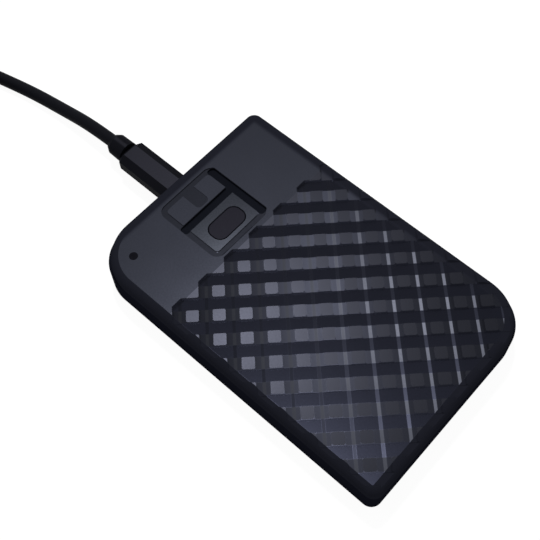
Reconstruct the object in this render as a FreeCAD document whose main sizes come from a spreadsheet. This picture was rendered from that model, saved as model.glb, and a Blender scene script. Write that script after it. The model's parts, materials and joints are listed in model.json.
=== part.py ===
import FreeCAD, Part
import math
import os
import re
import Sketcher
from FreeCAD import Placement, Rotation, Vector

# Portable 2.5 inch hard drive in a moulded case, with its USB lead plugged in and coiled.
# Millimetres. X runs along the case with the connector end at -X, Z is up, and the feet stand on z = 0.

SIZES = [
    # outer case, which is built round the drive
    ("end_thick", 3.15, "end bumper between drive and tray"),
    ("bumper_thick", 2.925, "side bumpers between drive and tray"),
    ("roof_room", 2.8, "room between drive and lid"),
    ("seam_height", 10.4, "seam between lid and tray"),
    ("edge_round", 3.3, "rounding of the lid's top edge"),
    ("lid_corner", 16.9, "large corners of the lid"),
    ("tray_corner", 14.6, "large corners of the tray"),
    ("sharp_corner", 3.7, "small corners of lid and tray"),
    ("lid_wall", 1.8, "side wall of the lid"),
    ("lid_roof", 2.3, "top wall of the lid"),
    ("tray_wall", 2.4, "side wall of the tray"),
    ("tray_floor", 1.6, "floor of the tray"),
    ("tray_edge", 0.8, "bevel under the tray"),
    ("tongue_length", 12.0, "length of a snap tongue of the lid"),
    ("tongue_drop", 2.4, "reach of a tongue below the seam"),
    ("tongue_thick", 1.1, "thickness of a tongue"),
    ("tongue_spread", 40.0, "distance between the tongues of a long side"),
    ("fit_gap", 0.1, "clearance of parts that slide together"),
    ("foot_radius", 4.0, "rubber foot"),
    ("foot_height", 0.6, "foot below the tray"),
    ("foot_sink", 0.5, "recess that holds a foot"),
    ("foot_inset", 13.5, "foot centre from the sides of the case"),
    ("post_radius", 1.6, "post of the tray under the interface board"),
    ("post_spread", 24.0, "post from the long centre line"),
    ("post_inset", 3.0, "post from the edge of the interface board"),
    # lattice in the lid
    ("groove_pitch", 12.05, "spacing of the grooves along the case"),
    ("groove_wide", 4.7, "groove at the top face"),
    ("groove_floor", 3.5, "flat floor of a groove"),
    ("groove_deep", 0.6, "depth of a groove"),
    ("groove_cross", 35.17, "first crossings from the connector end"),
    ("groove_row", 6.88, "lowest row of crossings from the near long side"),
    ("groove_arm", 150.0, "length of a groove past its crossing"),
    ("groove_tip", 2.9, "flat cut at the start of a groove pair"),
    ("groove_step", 0.1, "extra depth of the rising grooves"),
    ("groove_count", 14.0, "grooves of each family"),
    # framed panel in the lid
    ("panel_start", 5.35, "frame from the connector end"),
    ("panel_length", 28.0, "outside of the frame along the case"),
    ("panel_low", 13.5, "frame below the long centre line"),
    ("panel_high", 12.3, "frame above the long centre line"),
    ("panel_corner", 3.4, "outer corner of the frame"),
    ("frame_wide", 2.1, "shallow groove of the frame"),
    ("frame_deep", 0.3, "depth of the shallow groove"),
    ("bar_wide", 3.3, "deep bar of the panel"),
    ("bar_deep", 0.8, "depth of the deep bars"),
    ("bar_inset", 1.0, "long bar from the ends of the frame"),
    ("bar_round", 1.3, "corner of the deep bars"),
    ("stem_start", 10.3, "cross bar from the start of the frame"),
    ("tab_length", 7.6, "small tab recess"),
    ("tab_wide", 5.3, "width of the tab recess"),
    ("tab_low", 3.3, "tab recess below the long centre line"),
    ("tab_round", 1.6, "corner of the tab recess"),
    # key, lamp and their parts
    ("key_start", 21.8, "key from the connector end"),
    ("key_length", 8.0, "key along the case"),
    ("key_width", 14.4, "key across the case"),
    ("key_low", 8.2, "key below the long centre line"),
    ("key_corner", 3.4, "corner of the key"),
    ("key_gap", 0.15, "gap round the key"),
    ("key_sunk", 0.1, "key below the top face"),
    ("key_collar", 1.0, "collar that keeps the key in"),
    ("key_travel", 0.5, "travel of the key"),
    ("key_stem", 1.5, "radius of the key's stem"),
    ("dome_radius", 3.0, "dome switch"),
    ("dome_height", 0.9, "height of the dome switch"),
    ("flex_thick", 0.2, "flat switch tail"),
    ("flex_width", 3.6, "width of the switch tail"),
    ("flex_foot", 4.0, "tail lying on the board"),
    ("flex_gap", 0.4, "switch tail to the receptacle"),
    ("lamp_radius", 1.5, "light pipe"),
    ("lamp_edge", 9.65, "light pipe from the near long side"),
    ("lamp_setback", 11.55, "light pipe from the connector end"),
    ("lamp_flange", 0.8, "flange of the light pipe"),
    ("led_side", 1.6, "side of a lamp on the board"),
    ("led_high", 0.7, "height of a lamp on the board"),
    ("glow_step", 7.5, "second lamp from the first"),
    # interface board across the connector end
    ("port_height", 7.0, "plug axis above the table"),
    ("port_gap", 0.25, "gap round the socket in the tray wall"),
    ("socket_width", 8.94, "socket shell"),
    ("socket_height", 3.2, "height of the socket shell"),
    ("socket_round", 1.5, "corner of the socket shell"),
    ("socket_length", 7.3, "length of the socket shell"),
    ("socket_inset", 0.5, "socket mouth behind the end of the case"),
    ("sheet_thick", 0.3, "sheet metal of the sockets and plugs"),
    ("pin_tongue_high", 0.7, "socket tongue"),
    ("pin_tongue_wide", 6.6, "width of the socket tongue"),
    ("pin_tongue_back", 1.0, "socket tongue behind the mouth of its shell"),
    ("board_thick", 0.8, "circuit boards"),
    ("board_gap", 0.35, "board to the tray wall"),
    ("board_side", 4.35, "board to the long walls of the tray"),
    ("board_room", 2.4, "board to the drive"),
    ("board_cut", 9.5, "cut corner of the board"),
    ("sata_side", 2.125, "drive connector from the side of the drive"),
    ("sata_width", 31.6, "width of the drive connector"),
    ("sata_high", 2.8, "height of the drive connector"),
    ("sata_depth", 4.9, "depth of the drive connector"),
    ("sata_slot", 1.2, "slot of the drive connector"),
    ("sata_wall", 1.0, "drive connector beside its slot"),
    ("receptacle_depth", 6.3, "receptacle along the case"),
    ("receptacle_gap", 1.45, "receptacle to the socket"),
    ("blade_reach", 2.6, "blade of the receptacle"),
    ("blade_gap", 0.2, "clearance of the blade in its slot"),
    ("grip_depth", 0.8, "board edge held in the receptacle"),
    ("chip_side", 6.0, "interface chip"),
    ("chip_inset", 1.5, "interface chip from the edge of its board"),
    ("chip_low", 20.0, "interface chip below the long centre line"),
    ("chip_high", 0.9, "height of the chips"),
    # drive body
    ("drive_corner", 2.5, "corner of the drive"),
    ("bumper_floor", 0.7, "rubber under the drive"),
    ("bumper_length", 16.0, "shock bumper"),
    ("bumper_inset", 17.1, "shock bumper's middle from the end of the drive"),
    ("bumper_foot", 5.0, "bumper under the drive"),
    ("bumper_high", 5.6, "height of a bumper"),
    ("end_length", 24.0, "end bumper across the case"),
    ("roof_length", 46.0, "foam pad under the lid"),
    ("roof_width", 8.0, "width of a foam pad"),
    ("roof_side", 24.0, "foam pad from the long centre line"),
    ("plate_thick", 0.6, "cover plate of the drive"),
    ("deck_height", 2.7, "deck inside the drive"),
    ("wall_thick", 2.2, "side walls of the drive"),
    ("bay_corner", 5.0, "corner of the actuator bay"),
    ("bay_round", 1.0, "small corner of the actuator bay"),
    ("bay_split", 0.5, "end of the coil's side of the bay below the long centre line"),
    ("bay_lap", 1.0, "lap of the two sides of the bay"),
    ("bay_gap", 4.3, "bay past the parking ramp"),
    ("bay_step", 7.2, "bay wall behind the drive connector"),
    ("ledge", 1.5, "casting beside the drive board"),
    ("drive_board_length", 46.0, "drive board"),
    ("chip_room", 1.1, "recess above the drive board"),
    ("chip_margin", 6.5, "seat of the drive board round the recess"),
    ("screw_radius", 0.8, "screw shank"),
    ("screw_head", 1.6, "screw head"),
    ("screw_head_high", 0.4, "height of a screw head"),
    ("screw_inset", 2.6, "cover screw from the sides of the drive"),
    ("screw_reach", 2.4, "screw in the casting"),
    ("processor_side", 12.0, "drive processor"),
    ("processor_inset", 12.5, "processor from the end of the drive"),
    ("processor_low", 10.0, "processor below the long centre line"),
    # spindle
    ("disc_radius", 32.5, "data disc"),
    ("disc_bore", 10.0, "hole of the disc"),
    ("disc_wall", 1.925, "casting beside the disc's well"),
    ("disc_thick", 0.64, "thickness of the disc"),
    ("well_gap", 0.5, "well round the disc"),
    ("hub_flange", 12.3, "hub under the disc"),
    ("hub_level", 0.4, "hub above the deck"),
    ("bore_gap", 0.03, "running fit"),
    ("shaft_radius", 2.0, "spindle shaft"),
    ("sleeve_radius", 4.5, "bearing sleeve"),
    ("sleeve_drop", 2.4, "sleeve below the deck"),
    ("sleeve_rise", 0.2, "sleeve above the deck"),
    ("stator_radius", 11.8, "stator"),
    ("stator_deep", 1.4, "stator recess below the deck"),
    ("clamp_radius", 11.8, "disc clamp"),
    ("clamp_thick", 0.6, "thickness of the clamp"),
    ("clamp_flat", 8.9, "flat top of the clamp"),
    ("clamp_screw_radius", 1.2, "screw of the clamp"),
    ("clamp_screw_head", 2.3, "head of the clamp screw"),
    ("clamp_head_high", 0.5, "height of that head"),
    # actuator
    ("pivot_gap", 7.5, "pivot from the edge of the disc, along the case"),
    ("pivot_side", 8.0, "pivot below the long centre line"),
    ("pivot_radius", 3.5, "pivot post"),
    ("block_radius", 6.0, "actuator block"),
    ("block_clear", 0.4, "actuator block to deck and cover"),
    ("arm_thick", 0.5, "arms"),
    ("arm_root", 4.2, "half width of an arm at the block"),
    ("arm_tip", 1.6, "half width of an arm at its end"),
    ("slider_past", 1.5, "reach of the slider past the radius of the disc"),
    ("fly_gap", 0.31, "slider to the disc"),
    ("arm_hole", 1.7, "lightening hole"),
    ("spring_free", 10.0, "slider past the end of the arm"),
    ("spring_lap", 3.5, "suspension on the arm"),
    ("spring_tail", 2.6, "suspension past the slider"),
    ("spring_root", 1.4, "half width of the suspension"),
    ("spring_tip", 0.4, "half width at its end"),
    ("spring_thick", 0.2, "suspension"),
    ("slider_side", 1.2, "side of the slider"),
    ("slider_thick", 0.12, "thickness of the slider"),
    ("park_angle", 63.7, "arm at rest, from the case's length"),
    ("swing_angle", 32.0, "swing of the arm"),
    ("coil_near", 7.0, "voice coil from the pivot"),
    ("coil_near_half", 3.2, "half width of the coil near the pivot"),
    ("coil_far_half", 7.6, "half width of the coil at its far end"),
    ("coil_thick", 1.2, "coil"),
    ("coil_strand", 2.0, "winding of the coil"),
    ("fork_wide", 1.5, "fork that holds the coil"),
    ("fork_start", 4.5, "fork from the pivot"),
    ("fork_short", 1.0, "coil past the end of the fork"),
    ("yoke_clear", 0.725, "yokes to the wall of the bay"),
    ("yoke_end", 1.0, "yokes from the end of the drive"),
    ("coil_inset", 3.0, "coil inside the outer edge of the yokes"),
    ("yoke_inner", 8.5, "inner edge of the magnet yokes"),
    ("yoke_thick", 0.5, "yokes"),
    ("magnet_thick", 0.4, "magnets"),
    ("magnet_spare", 8.0, "yoke past the swing, in degrees"),
    ("magnet_trim", 1.0, "magnet inside the yoke"),
    ("magnet_turn", 3.0, "magnet inside the ends of the yoke, in degrees"),
    ("ramp_width", 3.7, "foot of the parking ramp"),
    ("ramp_clear", 0.7, "end of the suspension to the ramp's foot"),
    ("ramp_lead", 0.8, "ramp's blade past the slider"),
    ("ramp_thick", 0.8, "blade of the ramp"),
    ("ramp_angle", 8.0, "ramp, in degrees"),
    ("filter_radius", 3.0, "breather filter"),
    ("filter_high", 3.0, "height of the filter"),
    ("filter_gap", 2.8, "filter to the walls of the bay"),
    # lead
    ("plug_width", 11.2, "plug"),
    ("plug_high", 6.9, "height of the plug"),
    ("plug_length", 24.2, "length of the plug"),
    ("plug_flat", 5.6, "flat of the plug's top"),
    ("plug_bevel", 1.5, "drop of the plug's bevels"),
    ("plug_chamfer", 1.6, "rear edges of the plug"),
    ("plug_gap", 0.3, "plug to the case"),
    ("shell_width", 8.1, "metal end of the plug"),
    ("shell_high", 2.4, "height of the metal end"),
    ("shell_round", 1.15, "corner of the metal end"),
    ("shell_reach", 6.3, "metal end in the socket"),
    ("boot_radius", 4.2, "strain relief"),
    ("boot_length", 5.8, "straight part of the strain relief"),
    ("boot_waist", 4.05, "strain relief where its taper starts"),
    ("boot_tip", 3.1, "end of the strain relief"),
    ("boot_taper", 1.6, "tapered part of the strain relief"),
    ("cord_radius", 2.4, "cable"),
    ("cord_gap", 0.4, "end of the cable to the host plug's strain relief"),
    ("coil_radius", 26.0, "coil at the middle of a turn"),
    ("coil_layers", 3.0, "turns on each other"),
    ("tie_thick", 0.7, "tie of the coil"),
    ("tie_angle", 20.0, "tie along the coil, in degrees"),
    ("host_width", 15.6, "host plug"),
    ("host_high", 8.6, "height of the host plug"),
    ("host_length", 22.0, "grip of the host plug"),
    ("host_corner", 2.4, "corner of the grip"),
    ("host_shell_width", 12.0, "metal end of the host plug"),
    ("host_shell_high", 4.5, "height of that end"),
    ("host_shell_reach", 18.75, "length of that end"),
    ("host_tongue_high", 1.8, "tongue of the host plug"),
    ("host_tongue_back", 1.0, "tongue behind the mouth of that end"),
    ("overcut", 1.0, "start of a cut outside its solid"),
]
ALIASES = {alias for alias, value, note in SIZES}

# Sizes that follow from those above: the drive is as large as its disc, actuator and heads need, and the
# case is as large as the drive, its bumpers and the interface board need.
FOLLOWS = {
    "case_length": "drive_setback + drive_length + end_thick + tray_wall",
    "case_width": "drive_width + 2 * (bumper_thick + tray_wall)",
    "case_height": "foot_height + tray_floor + bumper_floor + drive_height + roof_room + lid_roof",
    "drive_setback": "socket_inset + socket_length + receptacle_gap + receptacle_depth + blade_gap",
    "drive_length": "pivot_room + pivot_back + disc_centre",
    "drive_width": "2 * (disc_radius + well_gap + disc_wall)",
    "drive_height": "deck_height + 2 * disc_level + disc_thick + plate_thick",
    "disc_centre": "disc_radius + well_gap + wall_thick",
    "disc_level": "block_clear + arm_thick + spring_thick + slider_thick + fly_gap",
    "pivot_back": "disc_radius + pivot_gap",
    "pivot_room": "yoke_outer + yoke_end",
    "yoke_outer": "drive_width / 2 - wall_thick - pivot_side - yoke_clear",
    "coil_far": "yoke_outer - coil_inset",
    "slider_place": "disc_radius + slider_past",
    "arm_length": "slider_place - spring_free",
    "spring_start": "arm_length - spring_lap",
    "spring_reach": "slider_place + spring_tail",
    "ramp_blade": "slider_place + ramp_lead",
    "ramp_heel": "spring_reach + ramp_clear",
    "ramp_foot": "ramp_heel + ramp_width",
    "bay_reach": "pivot_room + ramp_foot * cos(park_angle - ramp_angle / 2) + bay_gap",
    "sata_low": "drive_width / 2 - sata_side - sata_width",
    "board_depth": "drive_setback - tray_wall - board_gap - board_room",
    "board_reach": "case_width / 2 - tray_wall - board_side",
    "lamp_side": "case_width / 2 - lamp_edge",
    "groove_tips": "floor((case_width - groove_row) / groove_pitch)",
}

# Route of the lead where it isn't coiled: out of the strain relief and down to the table, and from
# the top of the coil down to the host plug. Points that the cable's middle passes by.
LEAD_ROUTE = [(-92.8, 0.0, 7.0), (-104.5, -0.1, 6.5), (-119.5, -0.9, 3.7), (-135.5, -2.8, 2.6),
              (-152.5, -6.8, 2.6), (-169.0, -11.3, 3.1)]
TAIL_RUNS = [(13.0, -1.4), (27.0, -6.6), (40.5, -8.4)]
COIL_END_HEADING = -18.0

doc = FreeCAD.newDocument("portable_drive")
sheet = doc.addObject("Spreadsheet::Sheet", "Sizes")
for row, (alias, value, note) in enumerate(SIZES, 1):
    sheet.set(f"A{row}", alias)
    sheet.set(f"B{row}", str(value))
    sheet.set(f"C{row}", note)
    sheet.setAlias(f"B{row}", alias)
doc.recompute()

# Places that several pieces share, as expressions of the sheet's cells.
END_X = "(-case_length / 2)"
LOW_Y = "(-case_width / 2)"
FLOOR_Z = "(foot_height + tray_floor)"
DRIVE_X = f"({END_X} + drive_setback)"
DRIVE_Z = f"({FLOOR_Z} + bumper_floor)"
DRIVE_TOP = f"({DRIVE_Z} + drive_height)"
CAST_TOP = f"({DRIVE_TOP} - plate_thick)"
DECK_Z = f"({DRIVE_Z} + deck_height)"
SEAT_Z = f"({DRIVE_Z} + board_thick)"
DISC_X = f"({DRIVE_X} + drive_length - disc_centre)"
DISC_Z = f"({DECK_Z} + disc_level)"
CLAMP_Z = f"({DISC_Z} + disc_thick)"
PIVOT_X = f"({DISC_X} - pivot_back)"
PIVOT_Y = "(-pivot_side)"
ARM_LOW = f"({DECK_Z} + block_clear)"
ARM_HIGH = f"({CAST_TOP} - block_clear - arm_thick)"
COIL_Z = f"(({DECK_Z} + {CAST_TOP} - coil_thick) / 2)"
ROOF_Z = "(case_height - lid_roof)"
BOARD_Z = "(port_height - socket_height / 2)"
BOARD_X = f"({END_X} + tray_wall + board_gap)"
SATA_Z = f"({SEAT_Z} + sata_high / 2)"
SATA_X = f"({DRIVE_X} - blade_gap)"
SATA_BACK = f"({SATA_X} - receptacle_depth)"
PLUG_X = f"({END_X} - plug_gap)"
BAY_SIDE = "(drive_width / 2 - wall_thick)"
FOOT_PLACES = [(f"{x} * (case_length / 2 - foot_inset)", f"{y} * (case_width / 2 - foot_inset)")
               for x in (-1, 1) for y in (-1, 1)]
COVER_SCREWS = [(f"{x} * (drive_length / 2 - screw_inset)", f"{y} * (drive_width / 2 - screw_inset)")
                for x in (-1, 1) for y in (-1, 1)]
BOARD_NEAR, BOARD_FAR = "chip_margin / 2", "(drive_board_length - chip_margin / 2)"
BOARD_SIDE = "(drive_width / 2 - ledge - chip_margin / 2)"
BOARD_SCREWS = [(BOARD_NEAR, f"-{BOARD_SIDE}"), (BOARD_FAR, f"-{BOARD_SIDE}"), (BOARD_FAR, BOARD_SIDE)]

nodes = []


def cells(text):
    # Puts a size's cell, or what it follows from, in place of its name.
    def cell(match):
        word = match[0]
        if word in FOLLOWS:
            return f"({cells(FOLLOWS[word])})"
        return f"Sizes.{word}" if word in ALIASES else word

    return re.sub(r"[a-z_]+", cell, text)


def bind(thing, name, text):
    thing.setExpression(name, cells(text))


def size(text):
    return float(sheet.evalExpression(cells(text)))


def place(thing, at, turn=None):
    if turn is not None:
        thing.Placement = Placement(Vector(), Rotation(Vector(0, 0, 1), 1))
        bind(thing, "Placement.Rotation.Angle", turn)
    for axis, text in zip("xyz", at):
        bind(thing, f"Placement.Base.{axis}", text)


def new_body(label, at=("0", "0", "0"), turn=None):
    body = doc.addObject("PartDesign::Body", label)
    place(body, at, turn)
    nodes.append(body)
    return body


def origin(body, role):
    return next(part for part in body.Origin.OriginFeatures if part.Role == role)


def new_sketch(body, at=("0", "0", "0"), plane="XY_Plane", turn=0.0):
    sketch = body.newObject("Sketcher::SketchObject", f"{body.Name}_sketch")
    sketch.AttachmentSupport = [(origin(body, plane), "")]
    sketch.MapMode = "FlatFace"
    sketch.AttachmentOffset = Placement(Vector(), Rotation(Vector(0, 0, 1), turn))
    for axis, text in zip("xyz", at):
        bind(sketch, f"AttachmentOffset.Base.{axis}", text)
    return sketch


def hold(sketch, kind, item, point, text):
    if text == "0":
        axis = -2 if kind == "DistanceX" else -1
        sketch.addConstraint(Sketcher.Constraint("PointOnObject", item, point, axis))
        return
    index = sketch.addConstraint(Sketcher.Constraint(kind, -1, 1, item, point, size(text)))
    bind(sketch, f"Constraints[{index}]", text)


def set_radius(sketch, item, text):
    index = sketch.addConstraint(Sketcher.Constraint("Radius", item, size(text)))
    bind(sketch, f"Constraints[{index}]", text)


def polygon(sketch, corners):
    points = [Vector(size(x), size(y), 0) for x, y in corners]
    first, count = sketch.GeometryCount, len(points)
    for index, point in enumerate(points):
        sketch.addGeometry(Part.LineSegment(point, points[(index + 1) % count]), False)
    for index in range(count):
        after = first + (index + 1) % count
        sketch.addConstraint(Sketcher.Constraint("Coincident", first + index, 2, after, 1))
    for index, (x, y) in enumerate(corners):
        hold(sketch, "DistanceX", first + index, 1, x)
        hold(sketch, "DistanceY", first + index, 1, y)
    return sketch


def rectangle(sketch, x, y, x_size, y_size):
    far_x, far_y = f"({x}) + ({x_size})", f"({y}) + ({y_size})"
    return polygon(sketch, [(x, y), (far_x, y), (far_x, far_y), (x, far_y)])


def rounded(sketch, x, y, x_size, y_size, radii):
    # Corners run from the low one round against the clock, each with its own radius.
    far_x, far_y = f"({x}) + ({x_size})", f"({y}) + ({y_size})"
    corners = [Vector(size(a), size(b), 0) for a, b in ((x, y), (far_x, y), (far_x, far_y), (x, far_y))]
    along = [Vector(1, 0, 0), Vector(0, 1, 0), Vector(-1, 0, 0), Vector(0, -1, 0)]
    bends = [size(radius) for radius in radii]
    first = sketch.GeometryCount
    for side in range(4):
        after = (side + 1) % 4
        start = corners[side] + along[side] * bends[side]
        sketch.addGeometry(Part.LineSegment(start, corners[after] - along[side] * bends[after]), False)
    for side in range(4):
        middle = corners[side] + (along[side] - along[side - 1]) * bends[side]
        turn = math.pi * (1 + side / 2)
        circle = Part.Circle(middle, Vector(0, 0, 1), bends[side])
        sketch.addGeometry(Part.ArcOfCircle(circle, turn, turn + math.pi / 2), False)
    for side in range(4):
        arc = first + 4 + side
        sketch.addConstraint(Sketcher.Constraint("Tangent", first + (side + 3) % 4, 2, arc, 1))
        sketch.addConstraint(Sketcher.Constraint("Tangent", arc, 2, first + side, 1))
        sketch.addConstraint(Sketcher.Constraint("Vertical" if side % 2 else "Horizontal", first + side))
        set_radius(sketch, arc, radii[side])
    hold(sketch, "DistanceY", first, 1, y)
    hold(sketch, "DistanceX", first + 1, 1, far_x)
    hold(sketch, "DistanceY", first + 2, 1, far_y)
    hold(sketch, "DistanceX", first + 3, 1, x)
    return sketch


def circle(sketch, x, y, radius):
    ring = Part.Circle(Vector(size(x), size(y), 0), Vector(0, 0, 1), size(radius))
    item = sketch.addGeometry(ring, False)
    hold(sketch, "DistanceX", item, 3, x)
    hold(sketch, "DistanceY", item, 3, y)
    set_radius(sketch, item, radius)
    return sketch


def pad(body, sketch, length, backward=False):
    feature = body.newObject("PartDesign::Pad", f"{body.Name}_pad")
    feature.Profile = sketch
    feature.Reversed = backward
    bind(feature, "Length", length)
    return feature


def pocket(body, sketch, depth, forward=False):
    # Cuts against the sketch's normal, or along it.
    feature = body.newObject("PartDesign::Pocket", f"{body.Name}_pocket")
    feature.Profile = sketch
    feature.Reversed = forward
    bind(feature, "Length", depth)
    return feature


def revolve(body, sketch, axis="V_Axis"):
    feature = body.newObject("PartDesign::Revolution", f"{body.Name}_turned")
    feature.Profile = sketch
    feature.ReferenceAxis = (sketch, [axis])
    feature.Angle = 360.0
    return feature


def dress_edges(body, kind, wanted, value):
    # Fillet or chamfer on the edges of the last feature that the test picks.
    doc.recompute()
    base = body.Tip
    names = [f"Edge{index}" for index, edge in enumerate(base.Shape.Edges, 1) if wanted(edge)]
    feature = body.newObject(f"PartDesign::{kind}", f"{body.Name}_{kind.lower()}")
    feature.Base = (base, names)
    bind(feature, "Radius" if kind == "Fillet" else "Size", value)
    return feature


def flat_at(axis, text):
    # Test for edges that lie in one plane.
    level = size(text)
    low, high = f"{axis}Min", f"{axis}Max"
    return lambda edge: max(abs(getattr(edge.BoundBox, low) - level),
                            abs(getattr(edge.BoundBox, high) - level)) < 0.01


def box(label, at, sizes):
    block = doc.addObject("Part::Box", label)
    place(block, at)
    for name, text in zip(("Length", "Width", "Height"), sizes):
        bind(block, name, text)
    return block


def cylinder(label, at, radius, height, start=None, angle=None):
    drum = doc.addObject("Part::Cylinder", label)
    place(drum, at, start)
    bind(drum, "Radius", radius)
    bind(drum, "Height", height)
    if angle is not None:
        bind(drum, "Angle", angle)
    return drum


def cut(label, base, tool):
    result = doc.addObject("Part::Cut", label)
    result.Base, result.Tool = base, tool
    return result


def join(label, shapes):
    result = doc.addObject("Part::MultiFuse", label)
    result.Shapes = shapes
    return result


def keep(thing):
    nodes.append(thing)
    return thing


def ring(label, at, outer, inner, height, start=None, angle=None):
    solid = cylinder(f"{label}_outer", at, outer, height, start, angle)
    return cut(label, solid, cylinder(f"{label}_inner", at, inner, height))


def case_outline(sketch, inset, corner, small):
    # Two opposite corners are large and two are small.
    radii = [f"{corner} - {inset}", f"{small} - {inset}"] * 2
    return rounded(sketch, inset, inset, f"case_length - 2 * {inset}", f"case_width - 2 * {inset}", radii)


def top_cover():
    body = new_body("top_cover")
    corner = (END_X, LOW_Y)
    pad(body, case_outline(new_sketch(body, (*corner, "seam_height")), "0", "lid_corner", "sharp_corner"),
        "case_height - seam_height")
    dress_edges(body, "Fillet", flat_at("Z", "case_height"), "edge_round")
    inside = new_sketch(body, (*corner, "seam_height"))
    cavity = case_outline(inside, "lid_wall", "lid_corner", "sharp_corner")
    pocket(body, cavity, "case_height - seam_height - lid_roof", forward=True)
    panel(body)
    holes = new_sketch(body, (*corner, "case_height"))
    rounded(holes, "key_start", "case_width / 2 - key_low", "key_length", "key_width", ["key_corner"] * 4)
    circle(holes, "lamp_setback", "case_width / 2 - lamp_side", "lamp_radius")
    pocket(body, holes, "lid_roof + overcut")
    tongues(body)
    lattice(body)


def lattice(body):
    # Two families of grooves leave a row of crossings at 45 degrees to the case, each repeated across it.
    x, low = f"{END_X} + groove_cross - groove_wide * sqrt(0.5)", f"{LOW_Y} + groove_row"
    high = f"{low} + groove_tips * groove_pitch"
    tip = [("0", "groove_tip"), ("groove_tip", "0")]
    rising = tip + [("groove_wide", "0"), ("groove_wide", "groove_arm"), ("0", "groove_arm")]
    falling = tip + [("groove_arm", "0"), ("groove_arm", "groove_wide"), ("0", "groove_wide")]
    for name, corners, y, deep in (("rising", rising, high, "groove_deep + groove_step"),
                                   ("falling", falling, low, "groove_deep")):
        groove = pocket(body, polygon(new_sketch(body, (x, y, "case_height"), turn=-45.0), corners), deep)
        bind(groove, "TaperAngle", f"-atan((groove_wide - groove_floor) / 2 / ({deep}))")
        rows = body.newObject("PartDesign::LinearPattern", f"{name}_grooves")
        rows.Originals = [groove]
        rows.Direction = (origin(body, "Y_Axis"), [""])
        rows.Mode = "Spacing"
        rows.Reversed = name == "rising"
        rows.Refine = groove.Refine = False
        bind(rows, "Offset", "groove_pitch")
        bind(rows, "Occurrences", "groove_count")
        body.Tip = rows


def panel(body):
    # Shallow frame with a deeper T of two bars and a small tab recess in its short cell.
    corner = (f"{END_X} + panel_start", "-panel_low", "case_height")
    high = "panel_low + panel_high"
    frame = rounded(new_sketch(body, corner), "0", "0", "panel_length", high, ["panel_corner"] * 4)
    rounded(frame, "frame_wide", "frame_wide", "panel_length - 2 * frame_wide",
            f"{high} - frame_wide - bar_wide", ["panel_corner - frame_wide"] * 4)
    pocket(body, frame, "frame_deep")
    bars = new_sketch(body, corner)
    rounded(bars, "bar_inset", f"{high} - bar_wide", "panel_length - 2 * bar_inset", "bar_wide",
            ["bar_round"] * 4)
    pocket(body, bars, "bar_deep")
    stem = new_sketch(body, corner)
    rounded(stem, "stem_start", "0", "bar_wide", f"{high} - bar_wide / 2", ["bar_round"] * 4)
    pocket(body, stem, "bar_deep")
    tab = new_sketch(body, corner)
    rounded(tab, "frame_wide / 2", "panel_low - tab_low", "tab_length + frame_wide / 2", "tab_wide",
            ["tab_round"] * 4)
    pocket(body, tab, "frame_deep / 2")


def tongues(body):
    # Snap tongues hang from the roof just inside the tray's long walls.
    root = new_sketch(body, (END_X, LOW_Y, "seam_height"))
    hang = new_sketch(body, (END_X, LOW_Y, "seam_height"))
    for side in (-1, 1):
        x = f"case_length / 2 + {side} * tongue_spread / 2 - tongue_length / 2"
        for y, low in (("tray_wall + fit_gap", "lid_wall"),
                       ("case_width - tray_wall - fit_gap - tongue_thick", None)):
            wide = "tray_wall + fit_gap + tongue_thick - lid_wall"
            rectangle(root, x, low or y, "tongue_length", wide)
            rectangle(hang, x, y, "tongue_length", "tongue_thick")
    pad(body, root, "case_height - seam_height - lid_roof")
    pad(body, hang, "tongue_drop", backward=True)


def base_tray():
    body = new_body("base_tray")
    corner = (END_X, LOW_Y)
    outline = case_outline(new_sketch(body, (*corner, "foot_height")), "0", "tray_corner", "sharp_corner")
    pad(body, outline, "seam_height - foot_height")
    dress_edges(body, "Chamfer", flat_at("Z", "foot_height"), "tray_edge")
    inside = new_sketch(body, (*corner, "seam_height"))
    cavity = case_outline(inside, "tray_wall", "tray_corner", "sharp_corner")
    pocket(body, cavity, "seam_height - foot_height - tray_floor")
    posts = new_sketch(body, ("0", "0", FLOOR_Z))
    for side in ("-post_spread", "0", "post_spread"):
        circle(posts, f"{BOARD_X} + post_inset", side, "post_radius")
    pad(body, posts, f"{BOARD_Z} - board_thick - {FLOOR_Z}")
    mouth = new_sketch(body, ("0", "port_height", f"{END_X} - overcut"), "YZ_Plane")
    wide, high = "socket_width + 2 * port_gap", "socket_height + 2 * port_gap"
    rounded(mouth, f"-({wide}) / 2", f"-({high}) / 2", wide, high, ["socket_round + port_gap"] * 4)
    pocket(body, mouth, "tray_wall + 2 * overcut", forward=True)
    recess = new_sketch(body, ("0", "0", "foot_height"))
    for x, y in FOOT_PLACES:
        circle(recess, x, y, "foot_radius + fit_gap")
    pocket(body, recess, "foot_sink", forward=True)


def feet():
    for number, (x, y) in enumerate(FOOT_PLACES, 1):
        keep(cylinder(f"rubber_foot_{number}", (x, y, "0"), "foot_radius", "foot_height + foot_sink"))


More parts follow.
